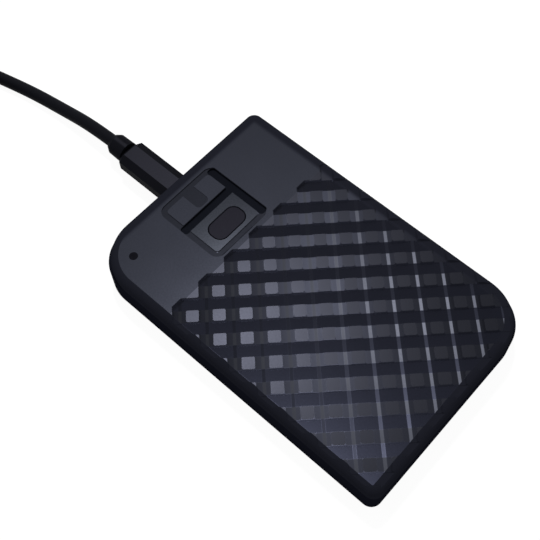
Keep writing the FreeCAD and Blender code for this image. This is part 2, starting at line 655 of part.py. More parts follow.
def key_and_lamp():
    body = new_body("touch_button", (f"{END_X} + key_start", "-key_low", ROOF_Z))
    collar = rounded(new_sketch(body), "-key_collar", "-key_collar", "key_length + 2 * key_collar",
                     "key_width + 2 * key_collar", ["key_corner + key_collar"] * 4)
    pad(body, collar, "key_collar", backward=True)
    face = rounded(new_sketch(body), "key_gap", "key_gap", "key_length - 2 * key_gap",
                   "key_width - 2 * key_gap", ["key_corner - key_gap"] * 4)
    pad(body, face, "lid_roof - key_sunk")
    stem = circle(new_sketch(body, ("0", "0", "-key_collar")), "key_length / 2", "key_width / 2", "key_stem")
    pad(body, stem, f"{ROOF_Z} - key_collar - {DRIVE_TOP} - flex_thick - dome_height - key_travel - fit_gap",
        backward=True)
    dress_edges(body, "Chamfer", flat_at("Z", "lid_roof - key_sunk"), "key_gap * 2")
    middle = (f"{END_X} + key_start + key_length / 2", "key_width / 2 - key_low")
    keep(cylinder("button_dome", (*middle, f"{DRIVE_TOP} + flex_thick"), "dome_radius", "dome_height"))
    tail = new_body("switch_flex", ("0", "sata_low - flex_gap - flex_width / 2", "0"))
    lie, top = f"{END_X} + key_start + key_length / 2 + dome_radius", f"{DRIVE_TOP} + flex_thick"
    drop, back = f"{DRIVE_X} - flex_thick", f"{DRIVE_X} - flex_thick - flex_foot"
    low = f"{BOARD_Z} + flex_thick"
    pad(tail, polygon(new_sketch(tail, ("0", "0", "-flex_width / 2"), "XZ_Plane"), [
        (lie, DRIVE_TOP), (lie, top), (drop, top), (drop, low), (back, low), (back, BOARD_Z),
        (DRIVE_X, BOARD_Z), (DRIVE_X, DRIVE_TOP)]), "flex_width")
    lamp = new_body("light_pipe", (f"{END_X} + lamp_setback", "-lamp_side", "0"))
    wide = "lamp_radius + lamp_flange"
    revolve(lamp, polygon(new_sketch(lamp, plane="XZ_Plane"), [
        ("0", f"{BOARD_Z} + led_high"), ("lamp_radius", f"{BOARD_Z} + led_high"),
        ("lamp_radius", f"{ROOF_Z} - lamp_flange"), (wide, f"{ROOF_Z} - lamp_flange"), (wide, ROOF_Z),
        ("lamp_radius", ROOF_Z), ("lamp_radius", "case_height"), ("0", "case_height")]))


def interface_board():
    body = new_body("bridge_board", (BOARD_X, "0", BOARD_Z))
    split = "sata_low - blade_gap"
    edge = f"{SATA_BACK} + grip_depth - {BOARD_X}"
    outline = polygon(new_sketch(body), [
        ("0", "board_cut - board_reach"), ("board_cut", "-board_reach"), ("board_depth", "-board_reach"),
        ("board_depth", split), (edge, split), (edge, "board_reach"), ("0", "board_reach")])
    pad(body, outline, "board_thick", backward=True)
    keep(box("bridge_chip", (f"{BOARD_X} + chip_inset", "-chip_low", BOARD_Z),
             ("chip_side", "chip_side", "chip_high")))
    for label, side in (("status_led", "-lamp_side"), ("glow_led", "glow_step - lamp_side")):
        keep(box(label, (f"{END_X} + lamp_setback - led_side / 2", f"{side} - led_side / 2", BOARD_Z),
                 ("led_side", "led_side", "led_high")))


def shell(label, at, x_size, width, high, corner, wall):
    # Drawn sheet-metal sleeve along X with an open front, closed at the other end if wall isn't zero.
    body = new_body(label, at)
    outer = rounded(new_sketch(body, plane="YZ_Plane"), f"-{width} / 2", f"-{high} / 2", width, high,
                    [corner] * 4)
    pad(body, outer, x_size)
    wide, tall = f"({width} - 2 * sheet_thick)", f"({high} - 2 * sheet_thick)"
    inner = rounded(new_sketch(body, ("0", "0", "-overcut"), "YZ_Plane"), f"-{wide} / 2", f"-{tall} / 2",
                    wide, tall, [f"{corner} - sheet_thick"] * 4)
    pocket(body, inner, f"{x_size} + overcut - {wall}", forward=True)
    return body


def connectors():
    mouth = f"{END_X} + socket_inset"
    shell("usb_socket_shell", (mouth, "0", "port_height"), "socket_length", "socket_width", "socket_height",
          "socket_round", "sheet_thick")
    keep(box("usb_socket_tongue",
             (f"{mouth} + pin_tongue_back", "-pin_tongue_wide / 2", "port_height - pin_tongue_high / 2"),
             ("socket_length - sheet_thick - pin_tongue_back", "pin_tongue_wide", "pin_tongue_high")))
    plug = new_body("drive_sata_plug", (DRIVE_X, "sata_low", SEAT_Z))
    block = rectangle(new_sketch(plug, plane="YZ_Plane"), "0", "0", "sata_width", "sata_high")
    pad(plug, block, "sata_depth")
    slot = rectangle(new_sketch(plug, ("0", "0", "-overcut"), "YZ_Plane"), "sata_wall",
                     "sata_high / 2 - sata_slot / 2", "sata_width - 2 * sata_wall", "sata_slot")
    pocket(plug, slot, "overcut + blade_reach + blade_gap", forward=True)
    body = new_body("sata_receptacle", (SATA_BACK, "sata_low", SATA_Z))
    pad(body, rectangle(new_sketch(body, plane="YZ_Plane"), "0", "-sata_high / 2", "sata_width", "sata_high"),
        "receptacle_depth")
    grip = rectangle(new_sketch(body, ("0", "0", "-overcut"), "YZ_Plane"), "-overcut",
                     f"{BOARD_Z} - board_thick - {SATA_Z}", "sata_width + 2 * overcut", "board_thick")
    pocket(body, grip, "overcut + grip_depth", forward=True)
    blade = rectangle(new_sketch(body, ("0", "0", "receptacle_depth"), "YZ_Plane"), "sata_wall + blade_gap",
                      "blade_gap - sata_slot / 2", "sata_width - 2 * (sata_wall + blade_gap)",
                      "sata_slot - 2 * blade_gap")
    pad(body, blade, "blade_reach")


def soft_mounts():
    inner, number = "case_width / 2 - tray_wall", 0
    for middle in (f"{DRIVE_X} + bumper_inset", f"{DRIVE_X} + drive_length - bumper_inset"):
        for side in (-1, 1):
            number += 1
            body = new_body(f"shock_bumper_{number}", (f"{middle} - bumper_length / 2", "0", FLOOR_Z))
            corners = [(inner, "0"), (inner, "bumper_high"), ("drive_width / 2", "bumper_high"),
                       ("drive_width / 2", "bumper_floor"), ("drive_width / 2 - bumper_foot", "bumper_floor"),
                       ("drive_width / 2 - bumper_foot", "0")]
            section = [(f"{side} * ({y})", z) for y, z in corners]
            pad(body, polygon(new_sketch(body, plane="YZ_Plane"), section), "bumper_length")
    far = f"{DRIVE_X} + drive_length"
    keep(box("end_bumper", (far, "-end_length / 2", FLOOR_Z),
             ("end_thick", "end_length", "bumper_high")))
    for label, side in (("roof_pad_left", -1), ("roof_pad_right", 1)):
        keep(box(label, (f"{DRIVE_X} + drive_length / 2 - roof_length / 2",
                         f"{side} * roof_side - roof_width / 2", DRIVE_TOP),
                 ("roof_length", "roof_width", "roof_room")))


def drive_body():
    casting = new_body("drive_casting", (DRIVE_X, "0", DRIVE_Z))
    half, inner = "drive_width / 2", BAY_SIDE
    plan = ("0", f"-{half}", "drive_length", "drive_width", ["drive_corner"] * 4)
    pad(casting, rounded(new_sketch(casting), *plan), "drive_height - plate_thick")
    top, deep = "drive_height - plate_thick", "drive_height - plate_thick - deck_height"
    spindle = "drive_length - disc_centre"
    well = circle(new_sketch(casting, ("0", "0", top)), spindle, "0", "disc_radius + well_gap")
    pocket(casting, well, deep)
    coil_bay = rounded(new_sketch(casting, ("0", "0", top)), "wall_thick", f"-{inner}",
                       "bay_reach - wall_thick", f"{inner} - bay_split",
                       ["bay_corner", "bay_corner", "bay_round", "bay_round"])
    pocket(casting, coil_bay, deep)
    head_bay = rounded(new_sketch(casting, ("0", "0", top)), "bay_step", "-bay_split - bay_lap",
                       "bay_reach - bay_step", f"{inner} + bay_split + bay_lap",
                       ["bay_round", "bay_round", "bay_corner", "bay_corner"])
    pocket(casting, head_bay, deep)
    pocket(casting, circle(new_sketch(casting, ("0", "0", "deck_height")), spindle, "0",
                           "stator_radius + fit_gap"), "stator_deep")
    pocket(casting, circle(new_sketch(casting, ("0", "0", "deck_height")), spindle, "0", "sleeve_radius"),
           "deck_height + overcut")
    across = "drive_width - 2 * ledge"
    seat = rectangle(new_sketch(casting), "-overcut", f"ledge - {half}", "overcut + drive_board_length",
                     across)
    pocket(casting, seat, "board_thick", forward=True)
    room = rectangle(new_sketch(casting), "chip_margin", f"ledge + chip_margin - {half}",
                     "drive_board_length - 2 * chip_margin", f"{across} - 2 * chip_margin")
    pocket(casting, room, "board_thick + chip_room", forward=True)
    notch = rectangle(new_sketch(casting), "-overcut", "sata_low - blade_gap",
                      "overcut + sata_depth + blade_gap", "sata_width + 2 * blade_gap")
    pocket(casting, notch, "board_thick + sata_high + blade_gap", forward=True)
    threads = new_sketch(casting, ("drive_length / 2", "0", top))
    for x, y in COVER_SCREWS:
        circle(threads, x, y, "screw_radius")
    pocket(casting, threads, "screw_reach")
    under = new_sketch(casting)
    for x, y in BOARD_SCREWS:
        circle(under, x, y, "screw_radius")
    pocket(casting, under, "board_thick + screw_reach / 2", forward=True)

    cover = new_body("drive_cover", (DRIVE_X, "0", CAST_TOP))
    pad(cover, rounded(new_sketch(cover), *plan), "plate_thick")
    holes = new_sketch(cover, ("drive_length / 2", "0", "plate_thick"))
    for x, y in COVER_SCREWS:
        circle(holes, x, y, "screw_radius")
    pocket(cover, holes, "plate_thick + overcut")

    board = new_body("drive_board", (DRIVE_X, "0", DRIVE_Z))
    pad(board, rectangle(new_sketch(board), "0", f"ledge + fit_gap - {half}", "drive_board_length - fit_gap",
                         f"{across} - 2 * fit_gap"), "board_thick")
    ways = new_sketch(board)
    for x, y in BOARD_SCREWS:
        circle(ways, x, y, "screw_radius")
    pocket(board, ways, "board_thick + overcut", forward=True)
    keep(box("drive_processor", (f"{DRIVE_X} + processor_inset", "-processor_low", SEAT_Z),
             ("processor_side", "processor_side", "chip_high")))
    screws("cover_screws", COVER_SCREWS, (f"{DRIVE_X} + drive_length / 2", "0", DRIVE_TOP), 1,
           "plate_thick + screw_reach")
    screws("board_screws", BOARD_SCREWS, (DRIVE_X, "0", DRIVE_Z), -1, "board_thick + screw_reach / 2")


def screws(label, places, at, up, reach):
    # Heads on a face, shanks behind it: one node for the set.
    pieces = []
    for number, (x, y) in enumerate(places, 1):
        spot = (f"{at[0]} + {x}", f"{at[1]} + {y}")
        head = cylinder(f"{label}_head_{number}", (*spot, at[2] if up > 0 else f"{at[2]} - screw_head_high"),
                        "screw_head", "screw_head_high")
        shank = cylinder(f"{label}_shank_{number}", (*spot, f"{at[2]} - ({reach})" if up > 0 else at[2]),
                         "screw_radius", reach)
        pieces.append(join(f"{label}_{number}", [head, shank]))
    group = doc.addObject("Part::Compound", label)
    group.Links = pieces
    keep(group)


def spindle():
    at = (DISC_X, "0", "0")
    keep(ring("spindle_sleeve", (DISC_X, "0", f"{DECK_Z} - sleeve_drop"), "sleeve_radius",
              "shaft_radius + bore_gap", "sleeve_drop + sleeve_rise"))
    keep(ring("motor_stator", (DISC_X, "0", f"{DECK_Z} - stator_deep"), "stator_radius", "sleeve_radius",
              "stator_deep"))
    hub = new_body("spindle_hub", at)
    low, foot = f"{DECK_Z} + hub_level", f"{DECK_Z} - sleeve_drop"
    revolve(hub, polygon(new_sketch(hub, plane="XZ_Plane"), [
        ("0", foot), ("shaft_radius", foot), ("shaft_radius", low), ("hub_flange", low),
        ("hub_flange", DISC_Z), ("disc_bore - bore_gap", DISC_Z), ("disc_bore - bore_gap", CLAMP_Z),
        ("clamp_screw_radius", CLAMP_Z), ("clamp_screw_radius", low), ("0", low)]))
    keep(ring("data_disc", (DISC_X, "0", DISC_Z), "disc_radius", "disc_bore", "disc_thick"))
    clamp = new_body("disc_clamp", at)
    revolve(clamp, polygon(new_sketch(clamp, plane="XZ_Plane"), [
        ("clamp_screw_radius", CLAMP_Z), ("clamp_radius", CLAMP_Z),
        ("clamp_radius", f"{CLAMP_Z} + clamp_thick / 2"), ("clamp_flat", f"{CLAMP_Z} + clamp_thick"),
        ("clamp_screw_radius", f"{CLAMP_Z} + clamp_thick")]))
    screw = new_body("clamp_screw", at)
    head = f"{CLAMP_Z} + clamp_thick"
    revolve(screw, polygon(new_sketch(screw, plane="XZ_Plane"), [
        ("0", low), ("clamp_screw_radius", low), ("clamp_screw_radius", head), ("clamp_screw_head", head),
        ("clamp_screw_head", f"{head} + clamp_head_high"), ("0", f"{head} + clamp_head_high")]))


def actuator():
    at, turn = (PIVOT_X, PIVOT_Y, "0"), "park_angle"
    keep(cylinder("pivot_post", (PIVOT_X, PIVOT_Y, DECK_Z), "pivot_radius", f"{CAST_TOP} - {DECK_Z}"))
    block = new_body("actuator_arm", at, turn)
    pad(block, circle(new_sketch(block, ("0", "0", ARM_LOW)), "0", "0", "block_radius"),
        f"{ARM_HIGH} + arm_thick - {ARM_LOW}")
    blade = [("0", "-arm_root"), ("arm_length", "-arm_tip"), ("arm_length", "arm_tip"), ("0", "arm_root")]
    for level in (ARM_LOW, ARM_HIGH):
        pad(block, polygon(new_sketch(block, ("0", "0", level)), blade), "arm_thick")
    slope = "(coil_far_half - coil_near_half) / (coil_far - coil_near)"
    for side in (1, -1):
        line = [(f"-{x}", f"{side} * (coil_near_half + ({x} - coil_near) * {slope} + {out})")
                for x, out in (("fork_start", "0"), ("(coil_far - fork_short)", "0"),
                               ("(coil_far - fork_short)", "fork_wide"), ("fork_start", "fork_wide"))]
        pad(block, polygon(new_sketch(block, ("0", "0", COIL_Z)), line), "coil_thick")
    hole = circle(new_sketch(block, ("0", "0", ARM_LOW)), "arm_length / 2", "0", "arm_hole")
    circle(hole, "0", "0", "pivot_radius + bore_gap")
    pocket(block, hole, "drive_height", forward=True)
    winding = new_body("voice_coil", (PIVOT_X, PIVOT_Y, COIL_Z), turn)
    pad(winding, polygon(new_sketch(winding), [
        ("-coil_near", "-coil_near_half"), ("-coil_near", "coil_near_half"), ("-coil_far", "coil_far_half"),
        ("-coil_far", "-coil_far_half")]), "coil_thick")
    pocket(winding, polygon(new_sketch(winding), [
        ("-coil_near - coil_strand", "-coil_near_half + coil_strand"),
        ("-coil_near - coil_strand", "coil_near_half - coil_strand"),
        ("-coil_far + coil_strand", "coil_far_half - coil_strand"),
        ("-coil_far + coil_strand", "-coil_far_half + coil_strand")]), "coil_thick + overcut", forward=True)
    for label, face, up in (("upper_suspension", ARM_HIGH, -1),
                            ("lower_suspension", f"{ARM_LOW} + arm_thick", 1)):
        spring = new_body(label, (PIVOT_X, PIVOT_Y, face), turn)
        pad(spring, polygon(new_sketch(spring), [
            ("spring_start", "-spring_root"), ("spring_reach", "-spring_tip"), ("spring_reach", "spring_tip"),
            ("spring_start", "spring_root")]), "spring_thick", backward=up < 0)
        head = rectangle(new_sketch(spring, ("0", "0", f"{up} * spring_thick")),
                         "slider_place - slider_side / 2", "-slider_side / 2", "slider_side", "slider_side")
        pad(spring, head, "slider_thick", backward=up < 0)
    magnets()
    ramp()
    keep(cylinder("breather_filter", (f"{DRIVE_X} + bay_step + filter_radius + filter_gap",
                                      f"{BAY_SIDE} - filter_radius - filter_gap", DECK_Z),
                  "filter_radius", "filter_high"))


def magnets():
    start = "park_angle + 180 - swing_angle - magnet_spare"
    spread = "swing_angle + 2 * magnet_spare"
    upper = f"{CAST_TOP} - yoke_thick"
    for label, level, magnet in (("lower", DECK_Z, f"{DECK_Z} + yoke_thick"),
                                 ("upper", upper, f"{upper} - magnet_thick")):
        keep(ring(f"{label}_yoke", (PIVOT_X, PIVOT_Y, level), "yoke_outer", "yoke_inner", "yoke_thick",
                  start, spread))
        keep(ring(f"{label}_magnet", (PIVOT_X, PIVOT_Y, magnet), "yoke_outer - magnet_trim",
                  "yoke_inner + magnet_trim", "magnet_thick", f"{start} + magnet_turn",
                  f"{spread} - 2 * magnet_turn"))


def ramp():
    start = "park_angle - ramp_angle / 2"
    middle = f"{DISC_Z} + disc_thick / 2"
    foot = ring("ramp_block", (PIVOT_X, PIVOT_Y, DECK_Z), "ramp_foot", "ramp_heel",
                f"{middle} + ramp_thick / 2 - {DECK_Z}", start, "ramp_angle")
    blade = ring("ramp_lip", (PIVOT_X, PIVOT_Y, f"{middle} - ramp_thick / 2"), "ramp_heel", "ramp_blade",
                 "ramp_thick", start, "ramp_angle")
    clear = cylinder("ramp_clear", (DISC_X, "0", DECK_Z), "disc_radius + well_gap", "drive_height")
    keep(cut("parking_ramp", join("ramp_whole", [foot, blade]), clear))


def plug():
    body = new_body("plug_body", (PLUG_X, "0", "port_height"))
    flat, wide, high = "plug_flat / 2", "plug_width / 2", "plug_high / 2"
    drop = "plug_high / 2 - plug_bevel"
    pad(body, polygon(new_sketch(body, plane="YZ_Plane"), [
        (f"-{flat}", f"-{high}"), (flat, f"-{high}"), (wide, f"-({drop})"), (wide, drop), (flat, high),
        (f"-{flat}", high), (f"-{wide}", drop), (f"-{wide}", f"-({drop})")]), "plug_length", backward=True)
    dress_edges(body, "Chamfer", flat_at("X", "-plug_length"), "plug_chamfer")
    shell("plug_shell", (PLUG_X, "0", "port_height"), "shell_reach", "shell_width", "shell_high",
          "shell_round", "0")
    boot("plug_strain_relief", (f"{PLUG_X} - plug_length", "0", "port_height"), -1)


def boot(label, at, way, turn=None):
    # Turned about the cable from the back of a plug.
    body = new_body(label, at, turn)
    tip = f"{way} * (boot_length + boot_taper)"
    revolve(body, polygon(new_sketch(body, plane="XZ_Plane"), [
        ("0", "0"), ("0", "boot_radius"), (f"{way} * boot_length", "boot_waist"), (tip, "boot_tip"),
        (tip, "0")]), "H_Axis")


def tube(label, route):
    # Straight runs joined by tangent arcs, as large as the runs allow.
    points = [Vector(*point) for point in route]
    edges, start, radii = [], points[0], []
    for before, point, after in zip(points, points[1:], points[2:]):
        inward, outward = (point - before), (after - point)
        reach = 0.45 * min(inward.Length, outward.Length)
        turn = inward.getAngle(outward)
        radii.append(reach / math.tan(turn / 2))
        first = point - inward.normalize() * reach
        last = point + outward.normalize() * reach
        bulge = point + (outward - inward).normalize() * (radii[-1] * (1 / math.cos(turn / 2) - 1))
        edges += [Part.LineSegment(start, first).toShape(), Part.Arc(first, bulge, last).toShape()]
        start = last
    edges.append(Part.LineSegment(start, points[-1]).toShape())
    path = Part.Wire(edges)
    radius = size("cord_radius")
    section = Part.Wire(Part.Circle(points[0], points[1] - points[0], radius).toShape())
    solid = path.makePipeShell([section], True, False)
    share = solid.Volume / (path.Length * math.pi * radius ** 2)
    print(label, "radii", [round(value) for value in radii], "length", round(path.Length, 1),
          "volume", round(share, 4))
    node = keep(doc.addObject("Part::Feature", label))
    node.Shape = solid
    node.Placement = Placement()
    return points[-1], (points[-1] - points[-2])


def lead():
    end, heading = tube("cable_lead", LEAD_ROUTE)
    heading = Vector(heading.x, heading.y, 0).normalize()
    turns = size("coil_radius")
    centre = Vector(end.x - heading.y * turns, end.y + heading.x * turns, 0)
    at = (str(centre.x), str(centre.y), "tie_thick")
    outer, inner = "coil_radius + cord_radius", "coil_radius - cord_radius"
    high = "coil_layers * 2 * cord_radius"
    keep(ring("cable_coil", at, outer, inner, high))
    low = (str(centre.x), str(centre.y), "0")
    band = ring("tie_band", low, f"{outer} + tie_thick", f"{inner} - tie_thick", f"{high} + 2 * tie_thick",
                "180", "tie_angle")
    keep(cut("cable_tie", band, ring("tie_room", at, outer, inner, high)))
    swing = math.radians(COIL_END_HEADING)
    away = Vector(math.cos(swing), math.sin(swing), 0)
    top = size(f"tie_thick + {high} - cord_radius")
    leave = centre + Vector(away.y, -away.x, 0) * turns + Vector(0, 0, top)
    route = [leave] + [leave + away * run + Vector(0, 0, fall) for run, fall in TAIL_RUNS]
    end, heading = tube("cable_tail", [tuple(point) for point in route])
    host(end)


def host(end):
    # Host plug lying on the table at the end of the tail.
    turn = str(COIL_END_HEADING)
    swing = math.radians(COIL_END_HEADING)

    def spot(run):
        return (f"{end.x} + {math.cos(swing)} * ({run})", f"{end.y} + {math.sin(swing)} * ({run})",
                "host_high / 2")

    back = "boot_length + boot_taper + cord_gap"
    boot("host_strain_relief", spot(back), -1, turn)
    grip = new_body("host_plug_body", spot(back), turn)
    pad(grip, rounded(new_sketch(grip, plane="YZ_Plane"), "-host_width / 2", "-host_high / 2", "host_width",
                      "host_high", ["host_corner"] * 4), "host_length")
    front = spot(f"{back} + host_length")
    end_shell = new_body("host_plug_shell", front, turn)
    wide, high = "host_shell_width", "host_shell_high"
    block = rectangle(new_sketch(end_shell, plane="YZ_Plane"), f"-{wide} / 2", f"-{high} / 2", wide, high)
    pad(end_shell, block, "host_shell_reach")
    room = rectangle(new_sketch(end_shell, plane="YZ_Plane"), f"sheet_thick - {wide} / 2",
                     f"sheet_thick - {high} / 2", f"{wide} - 2 * sheet_thick", f"{high} - 2 * sheet_thick")
    pocket(end_shell, room, "host_shell_reach + overcut", forward=True)
    tongue = new_body("host_plug_tongue", front, turn)
    pad(tongue, rectangle(new_sketch(tongue, plane="YZ_Plane"), f"sheet_thick - {wide} / 2",
                          f"sheet_thick - {high} / 2", f"{wide} - 2 * sheet_thick", "host_tongue_high"),
        "host_shell_reach - host_tongue_back")


top_cover()
base_tray()
feet()
key_and_lamp()
interface_board()
connectors()
soft_mounts()
drive_body()
spindle()
actuator()
plug()
lead()
doc.recompute()

for thing in doc.Objects:
    if "Invalid" in thing.State or "Error" in thing.State:
        raise RuntimeError(f"{thing.Name} failed: {thing.State}")
    if thing.TypeId == "PartDesign::Pocket":
        if thing.Shape.Volume > thing.BaseFeature.Shape.Volume - 1e-6:
            raise RuntimeError(f"{thing.Name} cuts nothing")
for node in nodes:
    if node.Shape.isNull() or not node.Shape.isValid() or not node.Shape.Solids:
        raise RuntimeError(f"{node.Label} has no valid solid")
os.makedirs("parts", exist_ok=True)
for node in nodes:
    node.Shape.exportStep(f"parts/{node.Label}.step")
print(len(nodes), "sub-parts")
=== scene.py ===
import bpy
import json
import math
from mathutils import Matrix, Vector


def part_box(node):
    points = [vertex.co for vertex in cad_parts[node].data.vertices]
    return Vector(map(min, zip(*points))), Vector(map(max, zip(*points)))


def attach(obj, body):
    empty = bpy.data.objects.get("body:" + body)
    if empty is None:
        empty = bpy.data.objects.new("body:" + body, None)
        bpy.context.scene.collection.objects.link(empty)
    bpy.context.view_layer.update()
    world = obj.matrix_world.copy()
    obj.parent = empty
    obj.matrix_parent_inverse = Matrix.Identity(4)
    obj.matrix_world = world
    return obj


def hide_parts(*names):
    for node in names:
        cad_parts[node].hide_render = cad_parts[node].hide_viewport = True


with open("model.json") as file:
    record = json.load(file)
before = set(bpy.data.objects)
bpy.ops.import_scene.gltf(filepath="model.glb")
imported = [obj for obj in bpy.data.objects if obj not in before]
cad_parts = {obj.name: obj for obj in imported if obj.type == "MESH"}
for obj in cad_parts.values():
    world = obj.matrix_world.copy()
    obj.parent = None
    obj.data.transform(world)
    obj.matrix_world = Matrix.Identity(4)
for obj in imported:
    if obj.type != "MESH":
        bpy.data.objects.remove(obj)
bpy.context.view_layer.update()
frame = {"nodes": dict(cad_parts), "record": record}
nodes = frame["nodes"]
scene = bpy.context.scene
diagonal = math.sqrt(0.5)  # the grooves run at 45 degrees to the case
print("frame loaded,", len(nodes), "nodes")


# camera, as the photograph was taken: above the corner of the near side and the plain end
cameraView = {
    "lens": 62.74,
    "sensor": 36.0,
    "clipStart": 0.01,
    "place": (0.08786, -0.10954, 0.28385),
    "right": (0.743022, 0.669080, -0.015833),
    "down": (0.583575, -0.659287, -0.474110),
}


def makeCamera(view):
    right, up = Vector(view["right"]), -Vector(view["down"])
    back = right.cross(up)
    data = bpy.data.cameras.new("photoCamera")
    data.lens = view["lens"]
    data.sensor_width = view["sensor"]
    data.sensor_fit = "HORIZONTAL"
    data.clip_start = view["clipStart"]
    camera = bpy.data.objects.new("photoCamera", data)
    turn = Matrix((right, up, back)).transposed().to_4x4()
    camera.matrix_world = Matrix.Translation(Vector(view["place"])) @ turn
    scene.collection.objects.link(camera)
    scene.camera = camera


makeCamera(cameraView)
print("camera placed")


# shader helpers, where a source is a node with the name of its output, or a plain value
nodeGrid = {"inRow": 12, "stepX": 220, "stepY": 260}
mixSockets = {"FLOAT": (2, 3, 0), "VECTOR": (4, 5, 1), "RGBA": (6, 7, 2)}  # under, over, result


def addNode(tree, kind, **settings):
    # nodes stand in rows, left of the shader
    row, column = divmod(len(tree.nodes), nodeGrid["inRow"])
    node = tree.nodes.new(kind)
    node.location = (nodeGrid["stepX"] * (column - nodeGrid["inRow"]), -nodeGrid["stepY"] * row)
    for name, setting in settings.items():
        if hasattr(node, name):
            setattr(node, name, setting)
        else:
            node.inputs[name].default_value = setting
    return node


def feed(tree, source, node, socket):
    if isinstance(source, tuple) and isinstance(source[0], bpy.types.Node):
        tree.links.new(source[0].outputs[source[1]], node.inputs[socket])
    else:
        node.inputs[socket].default_value = source


def value(tree, operation, first, second=None, clamp=False):
    node = addNode(tree, "ShaderNodeMath", operation=operation, use_clamp=clamp)
    feed(tree, first, node, 0)
    if second is not None:
        feed(tree, second, node, 1)
    return node, "Value"


def mixed(tree, kind, mask, under, over, **settings):
    node = addNode(tree, "ShaderNodeMix", data_type=kind, **settings)
    underSocket, overSocket, result = mixSockets[kind]
    feed(tree, mask, node, "Factor")
    feed(tree, under, node, underSocket)
    feed(tree, over, node, overSocket)
    return node, result


def stepMask(tree, source, off, on):
    # smooth step, with the level where the mask is off and the level where it is on
    node = addNode(tree, "ShaderNodeMapRange", interpolation_type="SMOOTHSTEP")
    feed(tree, source, node, "Value")
    feed(tree, off, node, "From Min")
    feed(tree, on, node, "From Max")
    return node, "Result"


def rgba(color):
    return (*color, 1.0)


def newGroup(name, inputs, outputs):
    tree = bpy.data.node_groups.new(name, "ShaderNodeTree")
    for label, kind, setting in inputs:
        socket = tree.interface.new_socket(label, in_out="INPUT", socket_type=kind)
        socket.default_value = setting
    for label, kind in outputs:
        tree.interface.new_socket(label, in_out="OUTPUT", socket_type=kind)
    return tree, addNode(tree, "NodeGroupInput"), addNode(tree, "NodeGroupOutput")


# fine grain of a moulded or cast surface, used by every finish
grainLook = {"fineDetail": 3.0, "broadScale": 38.0, "broadDetail": 4.0, "noiseMiddle": 0.5}


def makeGrain(look):
    tree, start, end = newGroup("mouldGrain", [
        ("Scale", "NodeSocketFloat", 900.0),
        ("Speckle", "NodeSocketFloat", 0.1),
        ("Smear", "NodeSocketFloat", 0.1),
        ("Roughness", "NodeSocketFloat", 0.5),
        ("Color", "NodeSocketColor", (0.5, 0.5, 0.5, 1.0))],
        [("Color", "NodeSocketColor"), ("Roughness", "NodeSocketFloat"), ("Height", "NodeSocketFloat")])
    spot = addNode(tree, "ShaderNodeTexCoord")
    fine = addNode(tree, "ShaderNodeTexNoise", Detail=look["fineDetail"])
    broad = addNode(tree, "ShaderNodeTexNoise", Scale=look["broadScale"], Detail=look["broadDetail"])
    feed(tree, (spot, "Object"), fine, "Vector")
    feed(tree, (start, "Scale"), fine, "Scale")
    feed(tree, (spot, "Object"), broad, "Vector")
    parts = []
    for noise, strength in ((fine, "Speckle"), (broad, "Smear")):
        centred = value(tree, "SUBTRACT", (noise, "Fac"), look["noiseMiddle"])
        parts.append(value(tree, "MULTIPLY", centred, (start, strength)))
    both = value(tree, "ADD", *parts)
    share = value(tree, "ADD", both, 1.0)
    rough = value(tree, "ADD", both, (start, "Roughness"), clamp=True)
    tint = mixed(tree, "RGBA", 1.0, (start, "Color"), share, blend_type="MULTIPLY")
    feed(tree, tint, end, "Color")
    feed(tree, rough, end, "Roughness")
    feed(tree, (fine, "Fac"), end, "Height")
    return tree


grainGroup = makeGrain(grainLook)


# painted sheen: mask of the faces that look straight up, which alone get a metallic reflection and a top
# colour, while the sides stay without it
def makePaintedTopSheen():
    tree, start, end = newGroup("paintedTopSheen", [
        ("From", "NodeSocketFloat", 0.97),
        ("To", "NodeSocketFloat", 0.998)],
        [("Mask", "NodeSocketFloat")])
    spot = addNode(tree, "ShaderNodeTexCoord")
    split = addNode(tree, "ShaderNodeSeparateXYZ")
    feed(tree, (spot, "Normal"), split, "Vector")
    feed(tree, stepMask(tree, (split, "Z"), (start, "From"), (start, "To")), end, "Mask")
    return tree


topSheenGroup = makePaintedTopSheen()


def newMaterial(name):
    material = bpy.data.materials.new(name)
    material.use_nodes = True
    tree = material.node_tree
    return material, tree, tree.nodes["Principled BSDF"]


def dress(tree, shader, look, color, rough, metal, normal=None):
    # grain over a colour, a roughness and a normal, and all of it on the shader
    grain = addNode(tree, "ShaderNodeGroup", node_tree=grainGroup)
    feed(tree, look["grain"], grain, "Scale")
    feed(tree, look["speckle"], grain, "Speckle")
    feed(tree, look["smear"], grain, "Smear")
    feed(tree, rough, grain, "Roughness")
    feed(tree, color, grain, "Color")
    bump = addNode(tree, "ShaderNodeBump", Strength=look["bump"], Distance=look["bumpHigh"])
    feed(tree, (grain, "Height"), bump, "Height")
    if normal:
        feed(tree, normal, bump, "Normal")
    feed(tree, (grain, "Color"), shader, "Base Color")
    feed(tree, (grain, "Roughness"), shader, "Roughness")
    feed(tree, metal, shader, "Metallic")
    feed(tree, (bump, "Normal"), shader, "Normal")
    feed(tree, look.get("specular", 0.5), shader, "Specular IOR Level")


def grained(name, look):
    material, tree, shader = newMaterial(name)
    color, metal = rgba(look["color"]), look.get("metal", 0.0)
    # painted sheen on the faces that look up: their top colour reflects as metal, the sides keep the plain
    # colour and no sheen
    if "top" in look:
        flat = addNode(tree, "ShaderNodeGroup", node_tree=topSheenGroup)
        color = mixed(tree, "RGBA", (flat, "Mask"), color, rgba(look["top"]))
        metal = (flat, "Mask")
    dress(tree, shader, look, color, look["rough"], metal)
    material.diffuse_color = rgba(look["color"])
    return material


